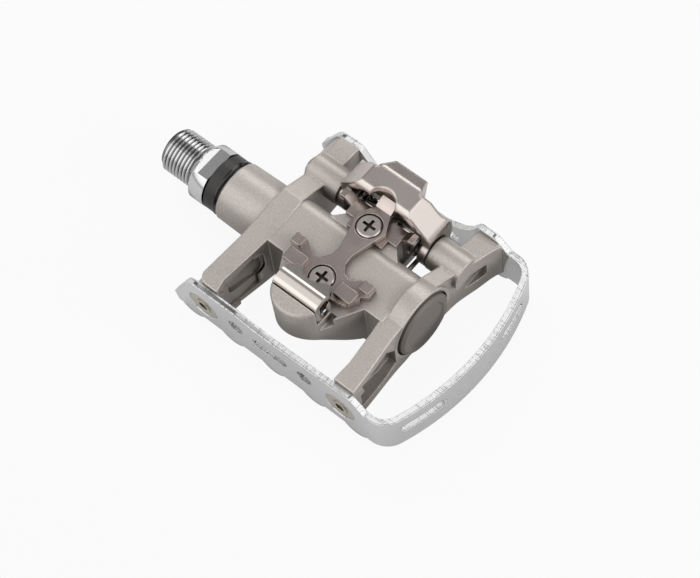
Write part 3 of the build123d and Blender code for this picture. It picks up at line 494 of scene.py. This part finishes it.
shader = tree.nodes["Principled BSDF"]
# The painted dark line and the real cracks darken the colour together.
dark = math_node(tree, "MAXIMUM", line, math_node(tree, "MULTIPLY", cut["Cracks"], crack_share))
scale_colour(cage_chrome, math_node(tree, "SUBTRACT", 1.0,
                                    math_node(tree, "MULTIPLY", dark, darkening)))
tree.links.new(math_node(tree, "SUBTRACT", 1.0,
                         math_node(tree, "MULTIPLY", cut["Mask"], less_metallic)),
               shader.inputs["Metallic"])
tree.links.new(math_node(tree, "MULTIPLY_ADD", cut["Mask"], more_rough,
                         shader.inputs["Roughness"].links[0].from_socket),
               shader.inputs["Roughness"])
scratches = tree.nodes.new("ShaderNodeBump")
scratches.invert = True
scratches.inputs["Strength"].default_value = crack_strength
scratches.inputs["Distance"].default_value = crack_depth
tree.links.new(cut["Cracks"], scratches.inputs["Height"])
tree.links.new(tree.nodes["dents"].outputs["Normal"], scratches.inputs["Normal"])
tree.links.new(scratches.outputs["Normal"], shader.inputs["Normal"])
print("cut edge:", cage_chrome.name)

# %% [markdown]
# ## A finish for every node
# A CAD node keeps its own mesh, and only its material slot changes. The hidden bearing parts get
# their finish too, because someone may take the pedal apart.

# %% Give each node its finish
finishes = {
    "body": body_paint, "end_cap": cap_plastic, "cage": cage_chrome, "cage_bolts": bolt_nickel,
    "cleat_plate": plate_nickel, "cover_plate": plate_nickel, "plate_screws": plate_screw_zinc,
    "front_claw": claw_nickel, "front_claw_pin": spindle_chrome, "rear_claw": rear_claw_satin,
    "pivot_pin": pin_polish, "spring_inboard": spring_steel, "spring_outboard": spring_steel,
    "tension_screw": screw_zinc, "tension_nut": bolt_nickel, "spindle": spindle_chrome,
    "lock_bolt": collar_resin, "mouth_seal": seal_rubber, "bearing_sleeve": ground_steel,
    "inner_balls": spindle_chrome, "outer_balls": spindle_chrome, "bearing_cone": ground_steel,
    "cone_nut": ground_steel,
}
for name, material in finishes.items():
    slots = nodes[name].data.materials
    slots.clear()
    slots.append(material)
print("finishes:", len(finishes))

# %% [markdown]
# ## Copies that may change
# A CAD mesh is loose triangles and is never changed itself. A piece that needs another shape starts
# as a copy whose triangles are joined along their edges, and the new object then stands for the
# node.

# %% Copy a node, and finish a piece
merge_distance = 0.002 * MM


def merged_copy(name):
    shape = bmesh.new()
    shape.from_mesh(nodes[name].data)
    bmesh.ops.remove_doubles(shape, verts=shape.verts, dist=merge_distance)
    return shape


def finished_piece(name, shape, material):
    mesh = bpy.data.meshes.new(name)
    shape.to_mesh(mesh)
    shape.free()
    mesh.materials.append(material)
    piece = bpy.data.objects.new(name, mesh)
    bpy.context.scene.collection.objects.link(piece)
    return piece


print("mesh helpers:", merged_copy.__name__, finished_piece.__name__)

# %% [markdown]
# ## The crank thread
# The spindle screws into the crank with a 9/16 inch thread of 20 turns to the inch, left hand on
# this side. The CAD solid has only its outer cylinder. Here a merged copy of the spindle is turned
# down to the bottom of the thread, and a four-sided ridge is spun round it: each step of the spin
# also moves back a little, which makes the helix. Towards the spindle's end the ridge is turned
# down to the chamfer.

# %% Turn the spindle down to the thread's root
thread_radius, thread_length, thread_chamfer = 7.14 * MM, 12.6 * MM, 1.1 * MM
thread_pitch = 25.4 / 20 * MM
thread_depth = 0.6 * thread_pitch
root_radius = thread_radius - thread_depth
seat_tolerance, radius_tolerance = 0.01 * MM, 0.05 * MM


def turn_down(shape, vertex, radius, wanted):
    """Moves a vertex at this radius in to the wanted one, along a line to the spindle's axis."""
    bmesh.ops.scale(shape, vec=(wanted / radius, 1, wanted / radius), verts=[vertex])


bar = merged_copy("spindle")
for vertex in bar.verts:
    radius = hypot(vertex.co.x, vertex.co.z)
    if vertex.co.y < seat_tolerance and root_radius < radius < thread_radius + radius_tolerance:
        turn_down(bar, vertex, radius, root_radius)
print("thread root:", round(2 * root_radius / MM, 2), "mm across")

# %% Spin the ridge
seat_gap, end_gap, foot_depth = 0.35 * MM, 0.6 * MM, 0.1 * MM
ridge_start, ridge_end = -seat_gap - thread_pitch / 2, thread_length - end_gap
foot_half_width, crest_half_width = 0.46 * thread_pitch, 0.08 * thread_pitch
foot_radius = root_radius - foot_depth
steps_per_turn = 40
turns = (ridge_end + ridge_start) / thread_pitch
steps = round(turns * steps_per_turn)

ridge = bmesh.new()
profile = [ridge.verts.new((radius, ridge_start + offset, 0)) for radius, offset in (
    (foot_radius, -foot_half_width), (thread_radius, -crest_half_width),
    (thread_radius, crest_half_width), (foot_radius, foot_half_width))]
section = ridge.faces.new(profile)
bmesh.ops.spin(ridge, geom=[section, *section.edges, *section.verts], cent=(0, 0, 0),
               axis=(0, 1, 0), dvec=(0, -thread_pitch / steps_per_turn, 0),
               angle=steps / steps_per_turn * tau, steps=steps)
bmesh.ops.recalc_face_normals(ridge, faces=ridge.faces)
for vertex in ridge.verts:
    radius = hypot(vertex.co.x, vertex.co.z)
    widest = thread_radius - max(0, thread_chamfer - thread_length - vertex.co.y)
    if radius > widest:
        turn_down(ridge, vertex, radius, widest)
print("thread turns:", round(turns, 1))

# %% Join the bar and the ridge
ridge_mesh = bpy.data.meshes.new("ridge")
ridge.to_mesh(ridge_mesh)
ridge.free()
bar.from_mesh(ridge_mesh)
bpy.data.meshes.remove(ridge_mesh)
spindle_bar = finished_piece("spindle_bar", bar, spindle_chrome)
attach(spindle_bar, "spindle")
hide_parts("spindle")
print("spindle faces:", len(spindle_bar.data.polygons))

# %% [markdown]
# ## The springs
# Each torsion spring has its lower leg in the deck and its upper leg behind the tension nut, so it
# winds up as the claw opens. Here each spring is a merged copy of its node with its place baked
# into its mesh, and the node itself is hidden.

# %% Merged copies of the springs
wound = []
for side in ("inboard", "outboard"):
    wire = finished_piece(f"spring_wire_{side}", merged_copy(f"spring_{side}"), spring_steel)
    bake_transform(wire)
    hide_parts(f"spring_{side}")
    wound.append(wire.name)
print("wound between pedal_body and rear_claw:", wound)

# %% [markdown]
# ## The floor
# A product photograph stands on white. Where the camera looks straight at it the floor nearly
# glows, and to everything else it is a mid grey, so that it keeps the pedal's shadow and throws
# little light up under it. Polished metal sees it darker than the camera does.

# %% Floor
floor_seen, floor_in_metal, floor_grey, floor_roughness = 0.93, 0.3, 0.42, 0.9
floor_half_side = 1.5


def seen_straight(tree, path):
    return math_node(tree, "MAXIMUM", path["Is Camera Ray"], path["Is Transmission Ray"])


white_floor = bpy.data.materials.new("white_floor")
white_floor.use_nodes = True
tree = white_floor.node_tree
shader = tree.nodes["Principled BSDF"]
shader.inputs["Base Color"].default_value = (floor_grey, floor_grey, floor_grey, 1)
shader.inputs["Roughness"].default_value = floor_roughness
path = tree.nodes.new("ShaderNodeLightPath").outputs
glow = tree.nodes.new("ShaderNodeEmission")
glow.inputs["Color"].default_value = (1, 1, 1, 1)
share = tree.nodes.new("ShaderNodeMixShader")
seen = math_node(tree, "MAXIMUM",
                 math_node(tree, "MULTIPLY", seen_straight(tree, path), floor_seen),
                 math_node(tree, "MULTIPLY", path["Is Glossy Ray"], floor_in_metal))
tree.links.new(seen, share.inputs[0])
tree.links.new(shader.outputs[0], share.inputs[1])
tree.links.new(glow.outputs[0], share.inputs[2])
tree.links.new(share.outputs[0], tree.nodes["Material Output"].inputs["Surface"])

floor_level = cad_box[0][2]
plane = bmesh.new()
bmesh.ops.create_grid(plane, x_segments=1, y_segments=1, size=floor_half_side)
bmesh.ops.translate(plane, vec=(pedal_middle.x, pedal_middle.y, floor_level), verts=plane.verts)
floor = finished_piece("floor", plane, white_floor)
print("floor at", round(floor_level / MM, 2), "mm")

# %% [markdown]
# ## The studio in the metal
# Polished metal has no look of its own and shows the studio round it. So for its rays the world has
# a ceiling that brightens with height and three soft bright walls, as large softboxes would give:
# one in front, one at the outboard end, and a small one high up behind, on the crank's side. The
# camera sees plain white, and everything else gets one plain level of light.

# %% World
horizon, ceiling, plain_level = 0.1, 0.3, 0.25
ceiling_begins, ceiling_full = 0.1, 0.55
walls_begin, walls_full = -0.02, 0.16

world = bpy.data.worlds.new("studio")
bpy.context.scene.world = world
world.use_nodes = True
tree = world.node_tree
sky = tree.nodes["Background"]
sky.inputs["Color"].default_value = (1, 1, 1, 1)
direction = tree.nodes.new("ShaderNodeTexCoord").outputs["Generated"]
height = axes_of(tree, direction)["Z"]


def soft_wall(towards, wide, narrow, strength):
    """A bright patch of the studio, full inside the narrow angle and gone outside the wide one."""
    facing = vector_node(tree, "DOT_PRODUCT", direction, Vector(towards).normalized())
    return smooth_range(tree, facing, cos(radians(wide)), cos(radians(narrow)), end=strength)


front_wall = soft_wall(towards=(0.85, -0.3, 0.4), wide=64, narrow=34, strength=0.95)
outboard_wall = soft_wall(towards=(-0.3, 0.8, 0.55), wide=45, narrow=22, strength=0.85)
rear_wall = soft_wall(towards=(-0.74, -0.34, 0.58), wide=21, narrow=10, strength=1.4)
walls = math_node(tree, "ADD", math_node(tree, "ADD", front_wall, outboard_wall), rear_wall)
lit_walls = math_node(tree, "MULTIPLY", walls,
                      smooth_range(tree, height, walls_begin, walls_full))
lit_ceiling = smooth_range(tree, height, ceiling_begins, ceiling_full, horizon, ceiling)
in_metal = math_node(tree, "ADD", lit_walls, lit_ceiling)

path = tree.nodes.new("ShaderNodeLightPath").outputs
off_screen = tree.nodes.new("ShaderNodeMapRange")
off_screen.inputs["To Min"].default_value = plain_level
tree.links.new(path["Is Glossy Ray"], off_screen.inputs["Value"])
tree.links.new(in_metal, off_screen.inputs["To Max"])
strength = math_node(tree, "MAXIMUM", off_screen.outputs["Result"], seen_straight(tree, path))
tree.links.new(strength, sky.inputs["Strength"])
print("world:", world.name, "plain level", plain_level)

# %% [markdown]
# ## Two softboxes
# A large key lamp stands high on the crank's side, and a smaller fill at the outboard end opens the
# shadows. Polished metal doesn't see them, because the studio's walls already stand for them there.

# %% Lamps
def lamp(name, place, size, power):
    light = bpy.data.lights.new(name, "AREA")
    light.shape = "RECTANGLE"
    light.size, light.size_y = size
    light.energy = power
    thing = bpy.data.objects.new(name, light)
    bpy.context.scene.collection.objects.link(thing)
    thing.location = place
    thing.visible_glossy = False
    thing.rotation_euler = (pedal_middle - Vector(place)).to_track_quat("-Z", "Y").to_euler()
    print("lamp:", name, power, "W")


lamp("key_softbox", place=(-0.25, -0.45, 0.85), size=(0.9, 0.9), power=8.9)
lamp("fill_softbox", place=(-0.25, 0.92, 0.45), size=(0.6, 0.4), power=7.0)

bpy.context.scene.view_settings.view_transform = "Standard"
